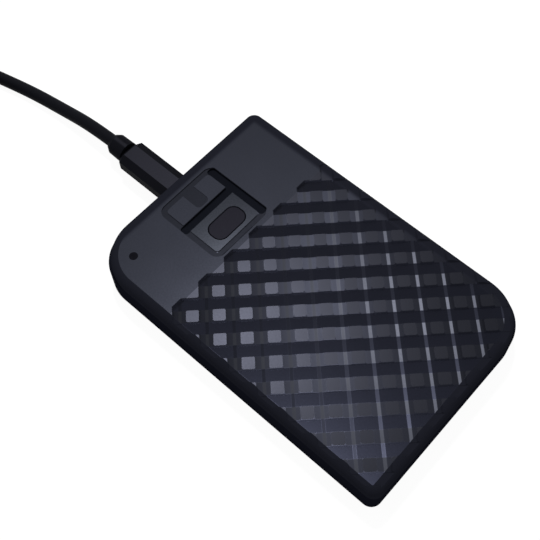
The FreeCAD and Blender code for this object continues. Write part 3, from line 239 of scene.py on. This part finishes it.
finishes = {
    "tray": dict(color=(0.0072, 0.0078, 0.0128), rough=0.5, specular=0.0,
                 grain=1400.0, speckle=0.15, smear=0.15, bump=0.10, bumpHigh=0.00006),
    "foot": dict(color=(0.022, 0.022, 0.023), rough=0.82, specular=0.3,
                 grain=2200.0, speckle=0.25, smear=0.15, bump=0.4, bumpHigh=0.0001),
    "soft_mount": dict(color=(0.03, 0.03, 0.034), rough=0.85, specular=0.3,
                       grain=900.0, speckle=0.3, smear=0.2, bump=0.5, bumpHigh=0.0002),
    "board": dict(color=(0.02, 0.10, 0.055), rough=0.42,
                  grain=1500.0, speckle=0.3, smear=0.2, bump=0.15, bumpHigh=0.00005),
    "chip": dict(color=(0.022, 0.022, 0.024), rough=0.6,
                 grain=2600.0, speckle=0.3, smear=0.1, bump=0.3, bumpHigh=0.00005),
    "sheet_steel": dict(color=(0.58, 0.58, 0.59), rough=0.28, metal=1.0,
                        grain=700.0, speckle=0.15, smear=0.15, bump=0.08, bumpHigh=0.00004),
    "casting": dict(color=(0.62, 0.63, 0.64), rough=0.45, metal=1.0,
                    grain=1100.0, speckle=0.25, smear=0.2, bump=0.35, bumpHigh=0.0001),
    "disc": dict(color=(0.82, 0.82, 0.83), rough=0.06, metal=1.0,
                 grain=300.0, speckle=0.02, smear=0.03, bump=0.0, bumpHigh=0.00001),
    "winding": dict(color=(0.62, 0.30, 0.12), rough=0.35, metal=1.0,
                    grain=1600.0, speckle=0.25, smear=0.1, bump=0.4, bumpHigh=0.00008),
    # plug and key: top is the colour of their painted sheen on the faces that look up
    "plug": dict(color=(0.0060, 0.0062, 0.0085), top=(0.0080, 0.0081, 0.0108), rough=0.42, specular=0.006,
                 grain=1500.0, speckle=0.15, smear=0.1, bump=0.15, bumpHigh=0.00006),
    "host_tongue": dict(color=(0.03, 0.03, 0.033), rough=0.5,
                        grain=1500.0, speckle=0.1, smear=0.1, bump=0.1, bumpHigh=0.00005),
    "cable": dict(color=(0.0055, 0.0057, 0.0080), rough=0.5, specular=0.02,
                  grain=1200.0, speckle=0.2, smear=0.15, bump=0.25, bumpHigh=0.00008),
    "key": dict(color=(0.006, 0.006, 0.009), top=(0.0040, 0.0039, 0.0054), rough=0.42, specular=0.006,
                grain=1800.0, speckle=0.08, smear=0.08, bump=0.06, bumpHigh=0.00004),
    "lamp": dict(color=(0.005, 0.005, 0.0078), rough=0.25, specular=0.006,  # off, so it is dark
                 grain=800.0, speckle=0.2, smear=0.1, bump=0.0, bumpHigh=0.00001),
}
materials = {slot: grained(slot + "Finish", look) for slot, look in finishes.items()}
print("plain finishes made,", len(materials))


# lid: painted sheen on the top, whose faces alone reflect, and dark flanks without it, which is painted
# shade on the rim and sides.
# The layers are drawn in this order. Most lean by a few degrees, so that each groove family catches the
# light in another part of the lattice.
lidLook = {
    "low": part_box("top_cover")[0],
    "high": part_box("top_cover")[1],
    "bigCorner": 0.0169,
    "smallCorner": 0.0037,
    "rim": 0.0033,            # rounding of the top edge
    "rimNear": 0.0028,        # its width as the light shows it, at the near side
    "rimEnd": 0.00355,        # the same at the plain end
    "farShadeStart": 0.03575,       # painted shade: past here the top turns to the flank look, towards the far side and the plug
    "farSoft": 0.00105,
    "plugShadeStart": -0.05625,
    "plugSoft": 0.0009,
    "topDepth": 0.0015,       # all that counts as top is less deep than this
    "topSoft": 0.0001,
    "pitch": 0.01205,         # crossings along the case
    "falling": -0.05895,      # a falling groove's middle, as x + y
    "rising": -0.00779,       # a rising groove's middle, as y - x
    "grooveHalf": 0.00214,
    "wallLevel": 0.00016,     # depth at which a groove's wall turns into its floor
    "strip": -0.05855,        # a polished line's middle in its falling groove, as x + y
    "stripHalf": 0.00056,
    "stripTop": 0.0338,       # the polished lines end before the far side
    "landHalf": 0.00213,
    "landRound": 0.0009,
    "edge": 0.00008,          # softness of the drawn borders
    "latticeStart": -0.0278,  # no groove is drawn nearer to the plug than this
    "latticeTop": 0.0555,     # or past this, as y - x
    "landStart": -0.0254,     # the lands' own finish starts here
    "roundStart": -0.0245,    # and their rounded corners here
    "fieldLow": (-0.0418, -0.0114),  # raised field round the key
    "fieldHigh": (-0.0295, 0.0091),
    "shallowDepth": 0.000075,  # depths of the panel's border and of its bars
    "shallowSoft": 0.000025,
    "barDepth": 0.0005,
    "barSoft": 0.0001,
    # dark rim and sides with no reflection, painted shade; the top takes it too past the far and plug lines
    "flankShade": (0.0125, 0.0133, 0.0195),
    "layers": {
        "band": dict(color=(0.0259, 0.0278, 0.0373), rough=0.22, lean=(-0.0748, 0.0278)),
        "lands": dict(color=(0.0105, 0.0110, 0.0145), rough=0.327, lean=(0.0, 0.0146)),
        "field": dict(color=(0.0112, 0.0122, 0.0155), rough=0.20, lean=(-0.0117, -0.0036), over="band"),
        "shallow": dict(color=(0.0155, 0.0166, 0.0223)),
        # painted shade: the deep bars take a dark colour that stands in for the shade in them
        "bars": dict(color=(0.0043, 0.0049, 0.0074)),
        "falling": dict(color=(0.0138, 0.0147, 0.0202), rough=0.417, lean=(-0.0628, -0.0612)),
        "strip": dict(color=(0.0115, 0.0121, 0.0152), rough=0.307, lean=(-0.0903, -0.1033), over="falling"),
        "rising": dict(color=(0.0092, 0.0099, 0.0152), rough=0.25, lean=(-0.1220, 0.1101)),
        "cross": dict(color=(0.0084, 0.0090, 0.0133), rough=0.28, lean=(-0.1895, -0.0124), over="rising"),
    },
    "leanMask": {"band": "panel", "lands": "plainLands"},  # where a lean's mask isn't its layer's own
    "floorDish": -0.46,       # turn of the normal along a falling groove, per metre
    "stripDish": 0.42,
    "dishMiddle": 0.010,
    "floorCrown": 6.13,       # turn of the normal across the falling grooves, per metre
    "grain": 1600.0,
    "speckle": 0.05,
    "smear": 0.06,
    "bump": 0.04,
    "bumpHigh": 0.00005,
    "specular": 0.0,
}


def above(tree, source, level, soft):
    return stepMask(tree, source, level - soft, level + soft)


def below(tree, source, level, soft):
    return stepMask(tree, source, level + soft, level - soft)


def product(tree, first, *others):
    for other in others:
        first = value(tree, "MULTIPLY", first, other)
    return first


def without(tree, mask):
    return value(tree, "SUBTRACT", 1.0, mask)


def acrossGroove(tree, along, start, pitch):
    # distance from the middle of the nearest groove of a family, in metres
    turns = value(tree, "DIVIDE", value(tree, "SUBTRACT", along, start), pitch)
    part = value(tree, "FRACT", value(tree, "ADD", turns, 0.5))
    off = value(tree, "ABSOLUTE", value(tree, "SUBTRACT", part, 0.5))
    return value(tree, "MULTIPLY", off, pitch * diagonal)


def insideOutline(tree, x, y, look):
    # on inside the rounding of the lid's top edge, with two large and two small corners
    big, small = look["bigCorner"] - look["rim"], look["smallCorner"] - look["rim"]
    side = value(tree, "GREATER_THAN", value(tree, "MULTIPLY", x, y), 0.0)
    radius = value(tree, "ADD", value(tree, "MULTIPLY", side, big - small), small)
    first = (look["low"].x + look["rim"], look["low"].y + look["rimNear"])
    last = (look["high"].x - look["rimEnd"], look["high"].y - look["rim"])
    past, squares = [], []
    for along, low, high in zip((x, y), first, last):
        centred = value(tree, "SUBTRACT", along, (high + low) / 2)
        off = value(tree, "SUBTRACT", value(tree, "ABSOLUTE", centred), (high - low) / 2)
        past.append(value(tree, "ADD", off, radius))
        squares.append(value(tree, "POWER", value(tree, "MAXIMUM", past[-1], 0.0), 2.0))
    arc = value(tree, "SQRT", value(tree, "ADD", *squares))
    straight = value(tree, "MINIMUM", value(tree, "MAXIMUM", *past), 0.0)
    distance = value(tree, "SUBTRACT", value(tree, "ADD", arc, straight), radius)
    return below(tree, distance, 0.0, look["edge"])


def landCorners(tree, x, offs, look):
    # on in the corners that the rounding of a land leaves
    soft = look["edge"]
    landEdge = look["pitch"] * diagonal / 2 - look["landHalf"]
    within, squares = above(tree, x, look["roundStart"], soft), []
    for off in offs:
        reach = value(tree, "SUBTRACT", landEdge + look["landRound"], off)
        past = value(tree, "MAXIMUM", reach, 0.0)
        squares.append(value(tree, "MULTIPLY", past, past))
        within = product(tree, within, stepMask(tree, off, landEdge - 3 * soft, landEdge))
    distance = value(tree, "SQRT", value(tree, "ADD", *squares))
    return product(tree, above(tree, distance, look["landRound"], soft), within)


def inBox(tree, x, y, look):
    sides = []
    for along, low, high in zip((x, y), look["fieldLow"], look["fieldHigh"]):
        sides += [above(tree, along, low, look["edge"]), below(tree, along, high, look["edge"])]
    return product(tree, *sides)


def lidMasks(tree, x, y, depth, look):
    soft, pitch = look["edge"], look["pitch"]
    total, rise = value(tree, "ADD", x, y), value(tree, "SUBTRACT", y, x)
    offFalling = acrossGroove(tree, total, look["falling"], pitch)
    offStrip = acrossGroove(tree, total, look["strip"], pitch)
    offRising = acrossGroove(tree, rise, look["rising"], pitch)
    sunk = product(tree, above(tree, depth, look["wallLevel"], soft),
                   above(tree, x, look["latticeStart"], soft),
                   below(tree, rise, look["latticeTop"], soft))
    flat = without(tree, sunk)
    inRising = product(tree, sunk, below(tree, offRising, look["grooveHalf"], soft))
    cutAway = product(tree, landCorners(tree, x, (offFalling, offRising), look), flat)
    onStrip = below(tree, offStrip, look["stripHalf"], 2 * soft)
    lands = above(tree, x, look["landStart"], soft)
    panel = without(tree, lands)
    falling = value(tree, "SUBTRACT", sunk, inRising)
    rising = value(tree, "ADD", inRising, cutAway, clamp=True)
    return {
        # top: where the painted sheen goes; off it the lid gets the painted shade of the flank
        "top": product(tree, insideOutline(tree, x, y, look),
                       below(tree, depth, look["topDepth"], look["topSoft"]),
                       # painted shade past the far and plug lines
                       below(tree, y, look["farShadeStart"], look["farSoft"]),
                       above(tree, x, look["plugShadeStart"], look["plugSoft"])),
        "panel": panel,
        "lands": lands,
        "plainLands": value(tree, "SUBTRACT", product(tree, lands, flat), cutAway, clamp=True),
        "field": inBox(tree, x, y, look),
        "shallow": product(tree, panel, above(tree, depth, look["shallowDepth"], look["shallowSoft"])),
        # deep bars, where painted shade goes
        "bars": product(tree, panel, above(tree, depth, look["barDepth"], look["barSoft"]), flat),
        "falling": falling,
        "strip": product(tree, falling, onStrip, below(tree, y, look["stripTop"], soft)),
        "rising": rising,
        "cross": product(tree, rising, onStrip),
    }


def leaning(tree, mask, lean, under=(0.0, 0.0)):
    # sideways push on the normal where the mask is on
    node = addNode(tree, "ShaderNodeVectorMath", operation="SCALE")
    feed(tree, (lean[0] - under[0], lean[1] - under[1], 0.0), node, 0)
    feed(tree, mask, node, "Scale")
    return node, "Vector"


def summed(tree, first, second):
    node = addNode(tree, "ShaderNodeVectorMath", operation="ADD")
    feed(tree, first, node, 0)
    feed(tree, second, node, 1)
    return node, "Vector"


def lidNormal(tree, spot, x, y, masks, look):
    # a level top that leans layer by layer, and curves in the falling grooves
    layers, lean = look["layers"], (0.0, 0.0, 1.0)
    for name, layer in layers.items():
        if "lean" in layer:
            mask = masks[look["leanMask"].get(name, name)]
            under = layers[layer["over"]]["lean"] if "over" in layer else (0.0, 0.0)
            lean = summed(tree, lean, leaning(tree, mask, layer["lean"], under))
    floors = value(tree, "MULTIPLY", masks["falling"], look["floorDish"])
    lines = value(tree, "MULTIPLY", masks["strip"], look["stripDish"] - look["floorDish"])
    along = value(tree, "MULTIPLY", value(tree, "SUBTRACT", y, x), diagonal)
    along = value(tree, "SUBTRACT", along, look["dishMiddle"])
    dish = value(tree, "MULTIPLY", along, value(tree, "ADD", floors, lines))
    lean = summed(tree, lean, leaning(tree, dish, (diagonal, -diagonal)))
    bare = value(tree, "SUBTRACT", masks["falling"], masks["strip"])
    across = value(tree, "MULTIPLY", value(tree, "ADD", x, y), diagonal)
    crown = value(tree, "MULTIPLY", across, value(tree, "MULTIPLY", bare, look["floorCrown"]))
    lean = summed(tree, lean, leaning(tree, crown, (diagonal, diagonal)))
    faces = mixed(tree, "VECTOR", masks["top"], (spot, "Normal"), lean)
    turned = addNode(tree, "ShaderNodeVectorTransform", vector_type="NORMAL", convert_from="OBJECT",
                     convert_to="WORLD")
    feed(tree, faces, turned, "Vector")
    return turned, "Vector"


def makeLid(look):
    material, tree, shader = newMaterial("lidFinish")
    spot = addNode(tree, "ShaderNodeTexCoord")
    split = addNode(tree, "ShaderNodeSeparateXYZ")
    feed(tree, (spot, "Object"), split, "Vector")
    x, y, z = ((split, axis) for axis in "XYZ")
    depth = value(tree, "SUBTRACT", look["high"].z, z)
    masks = lidMasks(tree, x, y, depth, look)
    color, rough = rgba(look["layers"]["band"]["color"]), look["layers"]["band"]["rough"]
    for name, layer in look["layers"].items():
        if name == "band":
            continue
        color = mixed(tree, "RGBA", masks[name], color, rgba(layer["color"]))
        if "rough" in layer:
            rough = mixed(tree, "FLOAT", masks[name], rough, layer["rough"])
    # painted shade: the flank colour and no reflection wherever the top mask is off
    color = mixed(tree, "RGBA", without(tree, masks["top"]), color, rgba(look["flankShade"]))
    dress(tree, shader, look, color, rough, masks["top"], lidNormal(tree, spot, x, y, masks, look))
    return material


materials["lid"] = makeLid(lidLook)
print("lid finish made")

slotOf = {part["node"]: part["material_slot"] for part in frame["record"]["subparts"]}
for name, piece in nodes.items():
    piece.data.materials.clear()
    piece.data.materials.append(materials[slotOf[name]])
print("finishes on the solids")


# lead: down from the strain relief, along the table, three turns on each other, and to the host plug
leadLook = {
    "radius": 0.0024,
    "roundSteps": 6,         # fineness of the round section
    "perPoint": 8,           # steps of the curve from point to point
    "out": [(-0.0928, 0.0, 0.007), (-0.1045, -0.0001, 0.0065), (-0.1195, -0.0009, 0.0037),
            (-0.1355, -0.0028, 0.0026), (-0.1525, -0.0068, 0.0026), (-0.1690, -0.0113, 0.0031)],
    "turnRadius": 0.026,
    "layers": (0.0031, 0.0079, 0.0127),
    "perTurn": 24,
    "leave": -18.0,          # heading of the tail, in degrees
    "tail": [(0.0130, -0.0014), (0.0270, -0.0066), (0.0405, -0.0084)],  # run and fall
    "slack": 1e-9,           # lets a full turn count as one
}


def leadPoints(look):
    points = [Vector(point) for point in look["out"]]
    heading = points[-1] - points[-2]
    start = math.atan2(heading.y, heading.x) - math.pi / 2
    middle = points[-1] - look["turnRadius"] * Vector((math.cos(start), math.sin(start), 0))
    top = len(look["layers"]) - 1
    end = math.radians(look["leave"]) - math.pi / 2
    while end < start + math.tau * top:
        end += math.tau
    over = (end - start) % math.tau / math.tau  # part of a turn in which the turns lie level
    count = round((end - start) / math.tau * look["perTurn"])
    for index in range(1, count + 1):
        turns = (end - start) / math.tau * index / count
        layer, part = int(turns + look["slack"]), turns % 1.0
        climb = min(max((part - over) / (1.0 - over), 0.0), 1.0)
        climb = climb * climb * (3 - 2 * climb)  # eased at both ends
        low = look["layers"][min(layer, top)]
        high = look["layers"][min(layer + 1, top)]
        angle = start + turns * math.tau
        points.append(Vector((middle.x + look["turnRadius"] * math.cos(angle),
                              middle.y + look["turnRadius"] * math.sin(angle), low + (high - low) * climb)))
    leave = points[-1].copy()
    away = Vector((math.cos(math.radians(look["leave"])), math.sin(math.radians(look["leave"])), 0))
    points += [leave + away * run + Vector((0, 0, fall)) for run, fall in look["tail"]]
    return points


def makeLead(look):
    points = leadPoints(look)
    curve = bpy.data.curves.new("usbLead", "CURVE")
    curve.dimensions = "3D"
    spline = curve.splines.new("NURBS")
    spline.points.add(len(points) - 1)
    for knot, point in zip(spline.points, points):
        knot.co = (*point, 1.0)
    spline.order_u = 3
    spline.use_endpoint_u = True
    spline.resolution_u = look["perPoint"]
    curve.bevel_depth = look["radius"]
    curve.bevel_resolution = look["roundSteps"]
    curve.use_fill_caps = True
    lead = bpy.data.objects.new("usbLead", curve)
    scene.collection.objects.link(lead)
    curve.materials.append(materials["cable"])
    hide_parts("cable_lead", "cable_coil", "cable_tail")
    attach(lead, "case")
    return lead, points


def lengthOf(lead):
    # measured along a copy of the curve that has no thickness
    bare = lead.copy()
    bare.data = lead.data.copy()
    bare.data.bevel_depth = 0.0
    scene.collection.objects.link(bare)
    line = bpy.data.meshes.new_from_object(bare.evaluated_get(bpy.context.evaluated_depsgraph_get()))
    bpy.data.objects.remove(bare)
    ends = [[line.vertices[index].co for index in edge.vertices] for edge in line.edges]
    return sum((last - first).length for first, last in ends)


lead, leadRoute = makeLead(leadLook)
leadLength = lengthOf(lead)
print("lead laid, metres:", round(leadLength, 4))


# light, floor and background
keyLook = {"place": (-0.2487, 0.2022, 0.733), "aim": (-0.0121, -0.0239, 0.015), "size": 0.1, "watts": 3.9}
floorLook = {"size": 3.0, "color": (0.86, 0.86, 0.87), "rough": 0.9, "whiteShare": 0.88, "white": 1.07}
worldLook = {"light": 0.45, "seen": 1.0}


def makeKey(look):
    data = bpy.data.lights.new("keyLight", "AREA")
    data.shape = "DISK"
    data.size = look["size"]
    data.energy = look["watts"]
    light = bpy.data.objects.new("keyLight", data)
    light.location = look["place"]
    aim = Vector(look["aim"]) - Vector(look["place"])
    light.rotation_euler = aim.to_track_quat("-Z", "Y").to_euler()
    scene.collection.objects.link(light)


def seenDirectly(tree):
    # on for the camera, mirrors and glass
    path = addNode(tree, "ShaderNodeLightPath")
    mirrored = value(tree, "MAXIMUM", (path, "Is Camera Ray"), (path, "Is Glossy Ray"))
    return value(tree, "MAXIMUM", mirrored, (path, "Is Transmission Ray"))


def makeFloor(look):
    mesh = bpy.data.meshes.new("floor")
    half = look["size"] / 2
    corners = [(-half, -half, 0), (half, -half, 0), (half, half, 0), (-half, half, 0)]
    mesh.from_pydata(corners, [], [(0, 1, 2, 3)])
    floor = bpy.data.objects.new("floor", mesh)
    scene.collection.objects.link(floor)
    material, tree, shader = newMaterial("floorFinish")
    feed(tree, rgba(look["color"]), shader, "Base Color")
    feed(tree, look["rough"], shader, "Roughness")
    feed(tree, 0.0, shader, "Specular IOR Level")
    share = value(tree, "MULTIPLY", seenDirectly(tree), look["whiteShare"])
    white = addNode(tree, "ShaderNodeEmission", Color=(1.0, 1.0, 1.0, 1.0), Strength=look["white"])
    mix = addNode(tree, "ShaderNodeMixShader")
    feed(tree, share, mix, 0)
    feed(tree, (shader, "BSDF"), mix, 1)
    feed(tree, (white, "Emission"), mix, 2)
    feed(tree, (mix, "Shader"), tree.nodes["Material Output"], "Surface")
    mesh.materials.append(material)


def makeWorld(look):
    world = bpy.data.worlds.new("studio")
    world.use_nodes = True
    tree = world.node_tree
    back = tree.nodes["Background"]
    strength = addNode(tree, "ShaderNodeMapRange")
    feed(tree, seenDirectly(tree), strength, "Value")
    feed(tree, look["light"], strength, "To Min")
    feed(tree, look["seen"], strength, "To Max")
    feed(tree, (1.0, 1.0, 1.0, 1.0), back, "Color")
    feed(tree, (strength, "Result"), back, "Strength")
    scene.world = world


makeKey(keyLook)
makeFloor(floorLook)
makeWorld(worldLook)
scene.view_settings.view_transform = "Standard"
print("floor and lights placed")
